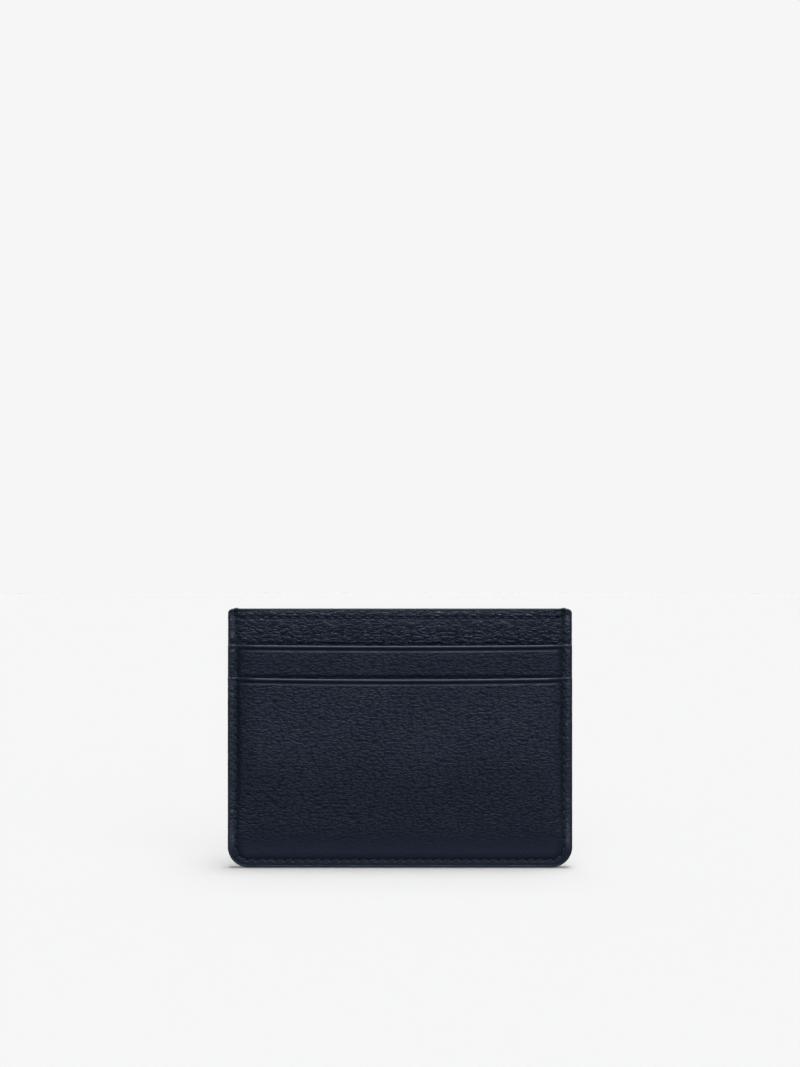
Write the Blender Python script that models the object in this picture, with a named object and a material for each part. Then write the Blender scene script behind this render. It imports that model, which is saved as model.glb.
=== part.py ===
"""Slim leather card holder, standing on its bottom edge.

Two card slots on the front, two on the back and a middle pocket between the two halves.
X runs across the width, Y through the thickness (the front looks along -Y) and Z up.
The origin is in the middle of the bottom edge. Lengths are in metres.
"""
import math

import bmesh
import bpy
from mathutils import Vector

# Overall size.
HOLDER_WIDTH = 0.1000             # across the painted side edges
HOLDER_HEIGHT = 0.0751            # resting edge to top edge
BOTTOM_CORNER_RADIUS = 0.0060
TOP_CORNER_RADIUS = 0.0017

# Pockets.
UPPER_MOUTH_DROP = 0.01050        # top edge down to the upper mouth
MOUTH_STEP = 0.00945              # upper mouth down to the lower mouth
FACING_HEIGHT = 0.0220            # leather strip, and the arms of the T-shaped backing
POCKET_BASE_RISE = 0.0118         # bottom edge up to the stitches that close the upper pocket
STEM_HEM = 0.0015                 # backing left below those stitches

# The card that the slots are made for.
CARD_WIDTH = 0.0856
CARD_THICKNESS = 0.00076
CARD_SIDE_ROOM = 0.0020           # backing left beyond each side of the card
CARD_SLIP = 0.00014               # play through the thickness of a slot

# Plies.
LINING_THICKNESS = 0.00020
LEATHER_THICKNESS = 0.00060
BACKING_THICKNESS = 0.00015
FACING_THICKNESS = 0.00050
GLUE_GAP = 0.00005                # between plies that are glued together

# Edge paint.
COAT_THICKNESS = 0.00040
COAT_GAP = 0.00005                # between the paint and the cut edge under it

# Sewing.
THREAD_DIAMETER = 0.00040
THREAD_GAP = 0.00005              # between a thread and the face it lies on
SIDE_SEAM_INSET = 0.0024          # outline to the seam, at the sides
BOTTOM_SEAM_INSET = 0.0021        # outline to the seam, along the bottom
HEM_DROP = 0.0026                 # top edge down to the hem stitches
SEAM_CLEARANCE = 0.00035          # side of a thread to the end of what it passes

# Fineness of the facets, and how far a cutter runs past what it cuts.
CORNER_SEGMENTS = 8
BEAD_SEGMENTS = 6
BEND_SEGMENTS = 3
TUBE_BEVEL_RESOLUTION = 2
CUT_MARGIN = 0.0020

# Worked out from the values above.
HALF_WIDTH = HOLDER_WIDTH / 2
PLY_INSET = COAT_THICKNESS + COAT_GAP
THREAD_RADIUS = THREAD_DIAMETER / 2
SLOT_GAP = CARD_THICKNESS + CARD_SLIP
UPPER_MOUTH_Z = HOLDER_HEIGHT - UPPER_MOUTH_DROP
LOWER_MOUTH_Z = UPPER_MOUTH_Z - MOUTH_STEP
SIDE_SEAM_X = HALF_WIDTH - SIDE_SEAM_INSET

# Distances of the ply faces from the middle plane, inside to outside.
LINING_INNER = SLOT_GAP / 2
BODY_INNER = LINING_INNER + LINING_THICKNESS + GLUE_GAP
BODY_OUTER = BODY_INNER + LEATHER_THICKNESS
BACKING_INNER = BODY_OUTER + SLOT_GAP
FACING_INNER = BACKING_INNER + BACKING_THICKNESS + GLUE_GAP
FACING_OUTER = FACING_INNER + FACING_THICKNESS
LOWER_INNER = FACING_OUTER + SLOT_GAP
LOWER_OUTER = LOWER_INNER + LEATHER_THICKNESS

# The two halves are mirror images across the middle plane.
HALVES = {"front": -1, "back": 1}

# Turns of a flat outline that is drawn in the local XY plane and extruded along local Z.
STAND_FACING_FRONT = (math.pi / 2, 0, 0)          # outline in world XZ
STAND_FACING_SIDE = (math.pi / 2, 0, math.pi / 2)  # outline in world YZ


def clear_scene():
    for obj in list(bpy.data.objects):
        bpy.data.objects.remove(obj, do_unlink=True)


def new_collection(name):
    collection = bpy.data.collections.new(name)
    bpy.context.scene.collection.children.link(collection)
    return collection


def new_material(name, colour, roughness):
    material = bpy.data.materials.new(name)
    material.use_nodes = True
    shader = material.node_tree.nodes["Principled BSDF"]
    shader.inputs["Base Color"].default_value = (*colour, 1.0)
    shader.inputs["Roughness"].default_value = roughness
    shader.inputs["Metallic"].default_value = 0.0
    return material


def arc(centre, radius, start, end, segments=CORNER_SEGMENTS):
    """Points of an arc between two angles in degrees, counted from +X towards the second axis."""
    angles = [math.radians(start + (end - start) * step / segments) for step in range(segments + 1)]
    return [
        (centre[0] + radius * math.cos(angle), centre[1] + radius * math.sin(angle)) for angle in angles
    ]


def bottom_outline(inset):
    """The outline round the two bottom corners, left to right, drawn in by the inset."""
    corner_x = HALF_WIDTH - BOTTOM_CORNER_RADIUS
    corner_z = BOTTOM_CORNER_RADIUS
    radius = BOTTOM_CORNER_RADIUS - inset
    return arc((-corner_x, corner_z), radius, 180, 270) + arc((corner_x, corner_z), radius, 270, 360)


def cut_edge_outline(inset):
    """From the top edge down the left side, along the bottom and up the right side to the top."""
    corner_x = HALF_WIDTH - TOP_CORNER_RADIUS
    corner_z = HOLDER_HEIGHT - TOP_CORNER_RADIUS
    radius = TOP_CORNER_RADIUS - inset
    left = arc((-corner_x, corner_z), radius, 90, 180)
    right = arc((corner_x, corner_z), radius, 0, 90)
    return left + bottom_outline(inset) + right


def pocket_panel_outline(mouth_z):
    """A panel sewn in at both sides and the bottom, with a straight mouth."""
    side = HALF_WIDTH - PLY_INSET
    top = mouth_z - PLY_INSET
    return [(-side, top)] + bottom_outline(PLY_INSET) + [(side, top)]


def facing_outline():
    side = HALF_WIDTH - PLY_INSET
    top = UPPER_MOUTH_Z - PLY_INSET
    bottom = UPPER_MOUTH_Z - FACING_HEIGHT
    return [(-side, top), (-side, bottom), (side, bottom), (side, top)]


def backing_outline():
    """A T: arms as wide as the facing, and a stem just wider than a card down to the pocket's base."""
    side = HALF_WIDTH - PLY_INSET
    stem = CARD_WIDTH / 2 + CARD_SIDE_ROOM
    top = UPPER_MOUTH_Z - PLY_INSET
    arm_bottom = UPPER_MOUTH_Z - FACING_HEIGHT
    stem_bottom = POCKET_BASE_RISE - STEM_HEM
    left = [(-side, top), (-side, arm_bottom), (-stem, arm_bottom), (-stem, stem_bottom)]
    right = [(stem, stem_bottom), (stem, arm_bottom), (side, arm_bottom), (side, top)]
    return left + right


def flat_outline_curve(name, outline, thickness):
    """A filled 2D curve, extruded half its thickness to each side."""
    curve = bpy.data.curves.new(name, "CURVE")
    curve.dimensions = "2D"
    curve.fill_mode = "BOTH"
    curve.extrude = thickness / 2
    spline = curve.splines.new("POLY")
    spline.points.add(len(outline) - 1)
    for point, (across, up) in zip(spline.points, outline):
        point.co = (across, up, 0.0, 1.0)
    spline.use_cyclic_u = True
    return bpy.data.objects.new(name, curve)


def place(obj, collection, material, location=(0, 0, 0), rotation=(0, 0, 0)):
    obj.location = location
    obj.rotation_euler = rotation
    obj.data.materials.append(material)
    collection.objects.link(obj)
    return obj


def add_ply(name, outline, inner_face, thickness, half, collection, material):
    """A flat ply whose inner face lies at a distance from the middle plane."""
    ply = flat_outline_curve(name, outline, thickness)
    middle = half * (inner_face + thickness / 2)
    return place(ply, collection, material, (0, middle, 0), STAND_FACING_FRONT)


def add_bead(name, inner_face, outer_face, top_z, half_length, half, collection, material):
    """A bar of edge paint with a rounded top, along a cut edge that faces up."""
    half_thickness = (outer_face - inner_face) / 2
    shoulder = COAT_THICKNESS / 2
    crown = [
        (half_thickness * math.cos(angle), shoulder + shoulder * math.sin(angle))
        for angle in (math.pi * step / BEAD_SEGMENTS for step in range(BEAD_SEGMENTS + 1))
    ]
    outline = [(-half_thickness, 0)] + [(half_thickness, 0)] + crown
    bead = flat_outline_curve(name, outline, 2 * half_length)
    middle = half * (inner_face + half_thickness)
    return place(bead, collection, material, (0, middle, top_z - COAT_THICKNESS), STAND_FACING_SIDE)


def round_bends(points, radius):
    """Replaces each inner corner of a route with a short arc that starts and ends a radius away."""
    rounded = [points[0]]
    for before, corner, after in zip(points, points[1:], points[2:]):
        towards = (before - corner).normalized() * radius
        away = (after - corner).normalized() * radius
        centre = corner + towards + away
        for step in range(BEND_SEGMENTS + 1):
            angle = math.pi / 2 * step / BEND_SEGMENTS
            rounded.append(centre - away * math.cos(angle) - towards * math.sin(angle))
    rounded.append(points[-1])
    return rounded


def add_thread(name, points, collection, material):
    """A round thread along a route."""
    curve = bpy.data.curves.new(name, "CURVE")
    curve.dimensions = "3D"
    curve.bevel_depth = THREAD_RADIUS
    curve.bevel_resolution = TUBE_BEVEL_RESOLUTION
    curve.use_fill_caps = True
    spline = curve.splines.new("POLY")
    spline.points.add(len(points) - 1)
    for spline_point, point in zip(spline.points, points):
        spline_point.co = (*point, 1.0)
    return place(bpy.data.objects.new(name, curve), collection, material)


def thread_on(face):
    """Distance of a thread's middle from the plane that its face is measured from."""
    return face + THREAD_GAP + THREAD_RADIUS


def seam_route(half):
    """Over the top edge, down the left side across both mouths, round the bottom and up again."""
    x = -SIDE_SEAM_X
    wrap_z = thread_on(HOLDER_HEIGHT - PLY_INSET)
    upper_z = thread_on(UPPER_MOUTH_Z)
    lower_z = thread_on(LOWER_MOUTH_Z)
    body_y = half * thread_on(BODY_OUTER)
    facing_y = half * thread_on(FACING_OUTER)
    panel_y = half * thread_on(LOWER_OUTER)
    down = [
        Vector((x, half * SEAM_CLEARANCE / 2, wrap_z)),
        Vector((x, body_y, wrap_z)),
        Vector((x, body_y, upper_z)),
        Vector((x, facing_y, upper_z)),
        Vector((x, facing_y, lower_z)),
        Vector((x, panel_y, lower_z)),
        Vector((x, panel_y, BOTTOM_CORNER_RADIUS)),
    ]
    left = round_bends(down, THREAD_RADIUS + THREAD_GAP)
    across = BOTTOM_CORNER_RADIUS - SIDE_SEAM_INSET
    rise = BOTTOM_CORNER_RADIUS - BOTTOM_SEAM_INSET
    corner_x = HALF_WIDTH - BOTTOM_CORNER_RADIUS
    for step in range(1, CORNER_SEGMENTS + 1):
        angle = math.pi / 2 * step / CORNER_SEGMENTS
        along = corner_x + across * math.cos(angle)
        left.append(Vector((-along, panel_y, BOTTOM_CORNER_RADIUS - rise * math.sin(angle))))
    right = [Vector((-point.x, point.y, point.z)) for point in reversed(left)]
    return left + right


def straight_route(half_length, y, z):
    return [Vector((-half_length, y, z)), Vector((half_length, y, z))]


def curve_to_mesh(curve_object):
    """The same shape as a closed mesh object, so that it can be cut."""
    graph = bpy.context.evaluated_depsgraph_get()
    mesh = bpy.data.meshes.new_from_object(curve_object.evaluated_get(graph))
    welded = bmesh.new()
    welded.from_mesh(mesh)
    bmesh.ops.remove_doubles(welded, verts=welded.verts, dist=1e-6)
    bmesh.ops.recalc_face_normals(welded, faces=welded.faces)
    welded.to_mesh(mesh)
    welded.free()
    name = curve_object.name
    solid = bpy.data.objects.new(name + "_solid", mesh)
    solid.matrix_world = curve_object.matrix_world
    for collection in curve_object.users_collection:
        collection.objects.link(solid)
    bpy.data.objects.remove(curve_object, do_unlink=True)
    solid.name = name
    return solid


def add_cutter(name, low, high, collection):
    """A box between two corners, hidden from the model."""
    mesh = bpy.data.meshes.new(name)
    box = bmesh.new()
    bmesh.ops.create_cube(box, size=1.0)
    size = high - low
    bmesh.ops.scale(box, vec=size, verts=box.verts)
    box.to_mesh(mesh)
    box.free()
    cutter = bpy.data.objects.new(name, mesh)
    cutter.location = (low + high) / 2
    cutter.hide_render = True
    cutter.display_type = "WIRE"
    collection.objects.link(cutter)
    return cutter


def cut_away(solid, name, low, high, cutters):
    cut = solid.modifiers.new(name, "BOOLEAN")
    cut.operation = "DIFFERENCE"
    cut.solver = "EXACT"
    cut.object = add_cutter(f"cutter_{name}", low, high, cutters)


def step_back_coat(coat, cutters):
    """Steps the coat back to the plies that are still there above each mouth."""
    for side, half in HALVES.items():
        for level, mouth_z, face in (
            ("upper", UPPER_MOUTH_Z, BODY_OUTER),
            ("lower", LOWER_MOUTH_Z, FACING_OUTER),
        ):
            near = half * face
            far = half * (LOWER_OUTER + CUT_MARGIN)
            low = Vector((-HALF_WIDTH - CUT_MARGIN, min(near, far), mouth_z))
            high = Vector((HALF_WIDTH + CUT_MARGIN, max(near, far), HOLDER_HEIGHT + CUT_MARGIN))
            cut_away(coat, f"{side}_{level}_step", low, high, cutters)


def clear_seam_wraps(coat, cutters):
    """Ends the coat just outside the two places where the seam threads wrap over the top edge."""
    reach = SIDE_SEAM_X + THREAD_RADIUS + SEAM_CLEARANCE
    deep = LOWER_OUTER + CUT_MARGIN
    low = Vector((-reach, -deep, HOLDER_HEIGHT - TOP_CORNER_RADIUS))
    high = Vector((reach, deep, HOLDER_HEIGHT + CUT_MARGIN))
    cut_away(coat, "seam_wraps", low, high, cutters)


def build_edge_coat(parts, cutters, paint):
    """The painted cut edge: a band round both sides, the bottom and the two top corners."""
    top_end = HALF_WIDTH - TOP_CORNER_RADIUS - CUT_MARGIN
    inner_top = HOLDER_HEIGHT - COAT_THICKNESS
    outer = [(-top_end, HOLDER_HEIGHT)] + cut_edge_outline(0) + [(top_end, HOLDER_HEIGHT)]
    inner = [(-top_end, inner_top)] + cut_edge_outline(COAT_THICKNESS) + [(top_end, inner_top)]
    band = flat_outline_curve("edge_coat", outer + inner[::-1], 2 * LOWER_OUTER)
    place(band, parts, paint, rotation=STAND_FACING_FRONT)
    bpy.context.view_layer.update()
    coat = curve_to_mesh(band)
    step_back_coat(coat, cutters)
    clear_seam_wraps(coat, cutters)


def build_half(side, half, parts, leather, textile, paint, thread):
    """The plies, painted mouths and inner stitch rows of one face, from the middle plane outwards."""
    body = cut_edge_outline(PLY_INSET)
    panel = pocket_panel_outline(LOWER_MOUTH_Z)
    for name, outline, inner_face, thickness, material in (
        ("body_lining", body, LINING_INNER, LINING_THICKNESS, textile),
        ("body_panel", body, BODY_INNER, LEATHER_THICKNESS, leather),
        ("upper_pocket_backing", backing_outline(), BACKING_INNER, BACKING_THICKNESS, textile),
        ("upper_pocket_facing", facing_outline(), FACING_INNER, FACING_THICKNESS, leather),
        ("lower_pocket_panel", panel, LOWER_INNER, LEATHER_THICKNESS, leather),
    ):
        add_ply(f"{side}_{name}", outline, inner_face, thickness, half, parts, material)

    between_coats = HALF_WIDTH - PLY_INSET
    between_seams = SIDE_SEAM_X - THREAD_RADIUS - SEAM_CLEARANCE
    for name, inner_face, outer_face, top_z, half_length in (
        ("top_edge_coat", LINING_INNER, BODY_OUTER, HOLDER_HEIGHT, between_seams),
        ("upper_mouth_coat", BACKING_INNER, FACING_OUTER, UPPER_MOUTH_Z, between_coats),
        ("lower_mouth_coat", LOWER_INNER, LOWER_OUTER, LOWER_MOUTH_Z, between_coats),
    ):
        add_bead(f"{side}_{name}", inner_face, outer_face, top_z, half_length, half, parts, paint)

    hem = straight_route(between_seams, half * thread_on(BODY_OUTER), HOLDER_HEIGHT - HEM_DROP)
    add_thread(f"{side}_top_hem_thread", hem, parts, thread)
    slot_middle = half * (BODY_OUTER + BACKING_INNER) / 2
    base = straight_route(CARD_WIDTH / 2 + CARD_SIDE_ROOM, slot_middle, POCKET_BASE_RISE)
    add_thread(f"{side}_pocket_base_thread", base, parts, thread)


def build():
    clear_scene()
    parts = new_collection("card_holder")
    cutters = new_collection("cutters")
    leather = new_material("navy_grained_leather", (0.016, 0.021, 0.036), 0.52)
    textile = new_material("navy_lining_textile", (0.012, 0.015, 0.026), 0.85)
    paint = new_material("navy_edge_paint", (0.021, 0.025, 0.038), 0.40)
    thread = new_material("navy_thread", (0.013, 0.018, 0.034), 0.60)

    for side, half in HALVES.items():
        build_half(side, half, parts, leather, textile, paint, thread)
    add_thread("seam_needle_thread", seam_route(HALVES["front"]), parts, thread)
    add_thread("seam_bobbin_thread", seam_route(HALVES["back"]), parts, thread)
    build_edge_coat(parts, cutters, paint)

    frame = bpy.data.objects.new("card_holder_frame", None)
    parts.objects.link(frame)
    for obj in parts.objects:
        if obj != frame:
            obj.parent = frame


build()
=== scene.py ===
import math

import bpy
import numpy as np
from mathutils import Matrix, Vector


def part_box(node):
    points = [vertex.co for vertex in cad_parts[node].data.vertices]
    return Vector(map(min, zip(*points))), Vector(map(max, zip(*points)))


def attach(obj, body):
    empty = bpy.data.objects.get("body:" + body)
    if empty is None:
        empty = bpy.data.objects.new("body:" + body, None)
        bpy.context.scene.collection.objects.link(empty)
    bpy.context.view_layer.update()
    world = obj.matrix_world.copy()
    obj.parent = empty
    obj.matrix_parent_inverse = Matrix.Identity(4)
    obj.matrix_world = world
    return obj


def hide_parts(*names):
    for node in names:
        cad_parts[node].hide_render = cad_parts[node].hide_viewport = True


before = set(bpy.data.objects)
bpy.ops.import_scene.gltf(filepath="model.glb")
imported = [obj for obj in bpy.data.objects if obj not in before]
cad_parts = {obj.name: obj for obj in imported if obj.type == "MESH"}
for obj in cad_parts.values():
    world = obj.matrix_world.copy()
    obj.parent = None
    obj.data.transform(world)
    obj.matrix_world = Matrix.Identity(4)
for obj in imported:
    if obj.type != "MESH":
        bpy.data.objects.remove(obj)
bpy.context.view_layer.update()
scene = bpy.context.scene
mm = 0.001

# places that the frame gives; x runs across, z up, and distances go out from the middle plane
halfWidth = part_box("edge_coat")[1].x
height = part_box("edge_coat")[1].z
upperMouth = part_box("back_upper_mouth_coat")[1].z
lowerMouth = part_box("back_lower_mouth_coat")[1].z
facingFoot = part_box("back_upper_pocket_facing")[0].z
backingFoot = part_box("back_upper_pocket_backing")[0].z
baseLow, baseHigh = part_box("back_pocket_base_thread")
hemLow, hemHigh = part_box("back_top_hem_thread")
seamLow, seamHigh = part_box("seam_bobbin_thread")
threadRadius = (hemHigh.z - hemLow.z) / 2
hemLine = (hemHigh.z + hemLow.z) / 2
hemReach = hemHigh.x
baseLine = (baseHigh.z + baseLow.z) / 2
baseReach = baseHigh.x
sideInset = halfWidth - seamHigh.x + threadRadius
footInset = seamLow.z + threadRadius

halves = {"front": -1, "back": 1}

form = {
    "bottomCorner": 6.0 * mm,
    "topCornerWide": 1.7 * mm,
    "topCornerTall": 1.3 * mm,
    "topDrop": 0.02 * mm,        # the top edge lies this far below the thread that crosses it
    "cutInset": 0.27 * mm,       # leather ends this far inside the painted edge
    "sideRampStart": 2.9 * mm,   # from the outline to where the pockets begin to lift
    "sideRampWidth": 6.4 * mm,
    "sideEase": 0.6 * mm,        # the lift begins softly, from this much further out
    "sideEaseWidth": 1.6 * mm,
    "footRampStart": 2.6 * mm,
    "footRampWidth": 32.0 * mm,
    "upperSag": 0.27 * mm,       # how far a mouth hangs down in the middle
    "lowerSag": 0.43 * mm,
    "sagDepth": 14.0 * mm,       # below a mouth, where the sag has died away
    "sagInset": 3.0 * mm,        # from the outline to where a mouth begins to hang
    "swellFoot": 0.4,            # share of the height over which the swell grows
    "waviness": 0.16 * mm,       # slow hollows and swells of a soft panel
    "edgeRoll": 0.42 * mm,       # rounding of the leather towards its cut edges
    "lean": 0.24 * mm,           # how far a ply leans in above the mouth in front of it
    "leanHeight": 7.5 * mm,
    "leanFoot": (4 * mm, 12 * mm),  # start and width of its fading, down from that mouth
    "tuck": 0.30 * mm,           # how far a ply dips just above the mouth in front of it
    "tuckHeight": 1.0 * mm,
    "tuckWidth": 1.1 * mm,
    "rimRoll": 0.38 * mm,        # how far the top rim bends back
    "rimStart": 0.30 * mm,       # above the hem row
    "rimSewn": 0.6,              # share of that bend where the plies are sewn flat
    "mouthGap": 0.30 * mm,       # leather ends this far below the top of its painted edge
}

topLevel = height - form["topDrop"]

# inner and outer face of each ply where all are sewn flat together, and how far its middle swells
layers = {
    "body_lining": (0.02 * mm, 0.20 * mm, 0.20 * mm),
    "body_panel": (0.20 * mm, 0.85 * mm, 0.22 * mm),
    "upper_pocket_backing": (0.85 * mm, 1.00 * mm, 0.26 * mm),
    "upper_pocket_facing": (1.00 * mm, 1.55 * mm, 0.28 * mm),
    "lower_pocket_panel": (1.55 * mm, 2.15 * mm, 0.30 * mm),
}


def rise(value, start, width):  # smooth step from 0 to 1
    t = np.clip((np.asarray(value, float) - start) / width, 0, 1)
    return t * t * (3 - 2 * t)


def lift(value, start, width):  # quick at first, then easing off
    t = np.clip((np.asarray(value, float) - start) / width, 0, 1)
    return 1 - (1 - t) ** 2


def bell(value, width):
    return np.exp(-((value / width) ** 2))


def quarterTurn(count, closed=True):
    return np.linspace(0, math.pi / 2, count, endpoint=closed)


def fullTurn(count):
    return np.linspace(0, 2 * math.pi, count, endpoint=False)


def openness(x, z):  # 0 where the plies are sewn flat, 1 where the pockets stand open
    inset = halfWidth - np.abs(x)
    side = lift(inset, form["sideRampStart"], form["sideRampWidth"])
    side = side * rise(inset, form["sideRampStart"] - form["sideEase"], form["sideEaseWidth"])
    foot = rise(z, form["footRampStart"], form["footRampWidth"])
    return side * foot


def edgeDistance(x, z):  # from the outline at the sides and the bottom, inwards
    radius = form["bottomCorner"]
    across = np.abs(x) - (halfWidth - radius)
    down = radius - z
    corner = radius - np.hypot(across, down)
    straight = np.minimum(halfWidth - np.abs(x), z)
    return np.where((across > 0) & (down > 0), corner, straight)


def outlineSide(z, inset):  # half width of the outline at a height
    low = form["bottomCorner"] - inset
    wide, tall = form["topCornerWide"] - inset, form["topCornerTall"] - inset
    below = np.clip((low + inset - z) / low, 0, 1)
    above = np.clip((z - topLevel + inset + tall) / tall, 0, 1)
    lowSide = low * (np.sqrt(1 - below ** 2) - 1)
    topSide = wide * (np.sqrt(1 - above ** 2) - 1)
    return halfWidth - inset + np.minimum(lowSide, topSide)


def slowWaves(x, z, phase):  # crossed waves, 20 to 40 mm long
    waves = (
        np.sin(x / (6.1 * mm) + z / (9.0 * mm) + phase)
        + np.sin(x / (-8.7 * mm) + z / (5.3 * mm) + 2.1 * phase)
        + np.sin(x / (4.4 * mm) - z / (7.9 * mm) + 3.3 * phase)
    )
    return form["waviness"] * waves / 3


def sag(ply, x):  # how far an edge hangs down; the top edge doesn't
    most = {"upper": form["upperSag"], "lower": form["lowerSag"]}.get(ply.split("_")[0], 0.0)
    return most * np.clip(1 - (x / (halfWidth - form["sagInset"])) ** 2, 0, 1)


def leanIn(ply, z):  # a ply bends in behind the mouth in front of it, and back at the top rim
    if ply.startswith("lower"):
        return 0 * z
    mouth = upperMouth if ply.startswith("body") else lowerMouth
    slow = form["lean"] * rise(mouth + form["leanHeight"] - z, 0, form["leanHeight"])
    quick = form["tuck"] * rise(mouth + form["tuckHeight"] - z, 0, form["tuckWidth"])
    bend = (slow + quick) * (1 - rise(mouth - z, *form["leanFoot"]))
    if ply.startswith("body"):
        rimStart = hemLine + form["rimStart"]
        bend = bend + form["rimRoll"] * np.clip((z - rimStart) / (topLevel - rimStart), 0, 1) ** 2
    return bend


def fieldLevel(ply, face, x, z):  # a face of a ply without its relief; face 0 is the inner one
    low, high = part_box("back_" + ply)
    opened = (low.y, high.y)[face]
    pressed = layers[ply][face]
    middle = np.cos(np.clip(x / halfWidth, -1, 1) * math.pi / 2)
    middle = middle * rise(z, 0, form["swellFoot"] * height)
    return pressed + (opened - pressed + layers[ply][2] * middle - leanIn(ply, z)) * openness(x, z)


class Wire:  # one socket of a node tree, so that maths can be written as expressions
    def __init__(self, tree, socket):
        self.tree = tree
        self.socket = socket

    @classmethod
    def make(cls, tree, kind, settings=None, inputs=None, output=0):
        node = tree.nodes.new(kind)
        for name, value in (settings or {}).items():
            if name == "stops":
                while len(node.color_ramp.elements) < len(value):
                    node.color_ramp.elements.new(0.5)
                for stop, (place, colour) in zip(node.color_ramp.elements, value):
                    stop.position = place
                    stop.color = (*colour, 1)
            else:
                setattr(node, name, value)
        for name, value in (inputs or {}).items():
            if isinstance(value, Wire):
                tree.links.new(value.socket, node.inputs[name])
            else:
                node.inputs[name].default_value = value
        return cls(tree, node.outputs[output] if node.outputs else None)

    def maths(self, operation, first, second):
        return Wire.make(self.tree, "ShaderNodeMath", {"operation": operation}, {0: first, 1: second})

    def __add__(self, other):
        return self.maths("ADD", self, other)

    def __radd__(self, other):
        return self.maths("ADD", other, self)

    def __sub__(self, other):
        return self.maths("SUBTRACT", self, other)

    def __rsub__(self, other):
        return self.maths("SUBTRACT", other, self)

    def __mul__(self, other):
        return self.maths("MULTIPLY", self, other)

    def __rmul__(self, other):
        return self.maths("MULTIPLY", other, self)

    def __truediv__(self, other):
        return self.maths("DIVIDE", self, other)

    def __pow__(self, other):
        return self.maths("POWER", self, other)

    def larger(self, other):
        return self.maths("MAXIMUM", self, other)

    def sine(self):
        return self.maths("SINE", self, 0.0)

    def part(self, axis):  # x, y or z of a vector
        return Wire.make(self.tree, "ShaderNodeSeparateXYZ", None, {0: self}, axis)

    def between(self, low, high):  # smooth step from 0 at low to 1 at high
        return Wire.make(
            self.tree, "ShaderNodeMapRange", {"interpolation_type": "SMOOTHSTEP"},
            {"Value": self, "From Min": low, "From Max": high},
        )

    def blend(self, first, second):  # from the first colour to the second as this value rises
        return Wire.make(
            self.tree, "ShaderNodeMix", {"data_type": "RGBA"}, {0: self, 6: first, 7: second}, 2
        )


def joined(tree, x, y, z=0.0):
    return Wire.make(tree, "ShaderNodeCombineXYZ", None, {0: x, 1: y, 2: z})


def noise(tree, vector, scale, detail=2.0, output=0):
    return Wire.make(
        tree, "ShaderNodeTexNoise", None, {"Vector": vector, "Scale": scale, "Detail": detail}, output
    )


def cells(tree, vector, feature):
    return Wire.make(
        tree, "ShaderNodeTexVoronoi", {"voronoi_dimensions": "2D", "feature": feature},
        {"Vector": vector, "Scale": 1.0, "Randomness": 0.95},
    )


# grain of each part of the leather; the same pattern shapes the mesh and finishes its surface
grains = {
    "field": {
        "cell": (1.90 * mm, 0.92 * mm),
        "wander": 0.95,               # how far cells are pushed about, in cells
        "crease": 0.20,               # crease width in cells
        "wrinkle": 0.036,             # width of the winding creases
        "pebble": 0.095 * mm,
        "depth": 0.100 * mm,
        "lip": 0.60,                  # strength of the painted highlight on the lower lip of a crease
    },
    "band": {
        "cell": (2.5 * mm, 1.30 * mm),
        "wander": 0.95,
        "crease": 0.17,
        "wrinkle": 0.040,
        "pebble": 0.095 * mm,
        "depth": 0.150 * mm,
        "lip": 1.25,
    },
    "strip": {
        "cell": (2.1 * mm, 0.95 * mm),
        "wander": 0.90,
        "crease": 0.22,
        "wrinkle": 0.040,
        "pebble": 0.052 * mm,
        "depth": 0.055 * mm,
        "lip": 0.50,
    },
}
grainSlope = 0.20                     # how far the rows of cells step sideways as they rise
lipShift = 0.15 * mm                  # a lip lies this far below its crease
fineLines = {"cell": (0.55, 0.50), "width": 0.04}  # shares of a cell
grainOf = {"body_panel": "band", "upper_pocket_facing": "strip", "lower_pocket_panel": "field"}
backShift = (0.31, 0.17)              # metres between the patterns of the two halves


def grainPattern(tree, place, grain, side, raised=0.0):  # pebble tops and creases, from 0 to 1
    x, z = place.part(0), place.part(2) + raised
    if side > 0:
        x, z = x + backShift[0], z + backShift[1]
    across = x / grain["cell"][0] + z * (grainSlope / grain["cell"][0])
    up = z / grain["cell"][1]
    flat = joined(tree, across, up)
    push = noise(tree, flat, 0.5, detail=3.0, output=1)
    bent = joined(
        tree,
        across + (push.part(0) - 0.5) * (2 * grain["wander"]),
        up + (push.part(1) - 0.5) * (2 * grain["wander"]),
    )
    tops = 1.0 - cells(tree, bent, "F1") ** 2.0
    net = 1.0 - cells(tree, bent, "DISTANCE_TO_EDGE").between(0.0, grain["crease"])
    wind = noise(tree, flat, 0.75, 1.5) - 0.5
    wrinkles = 1.0 - (wind * wind).between(0.0, grain["wrinkle"] ** 2)
    creases = (net * 0.75).larger(wrinkles)
    return tops, creases


def fineWrinkles(tree, place, grain, side):  # thin lines across the pebbles, from 0 to 1
    x = place.part(0) + (backShift[0] if side > 0 else 0.0)
    wide, tall = (share * size for share, size in zip(fineLines["cell"], grain["cell"]))
    wind = noise(tree, joined(tree, x / wide, place.part(2) / tall), 0.8) - 0.5
    return 1.0 - (wind * wind).between(0.0, fineLines["width"] ** 2)


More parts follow.
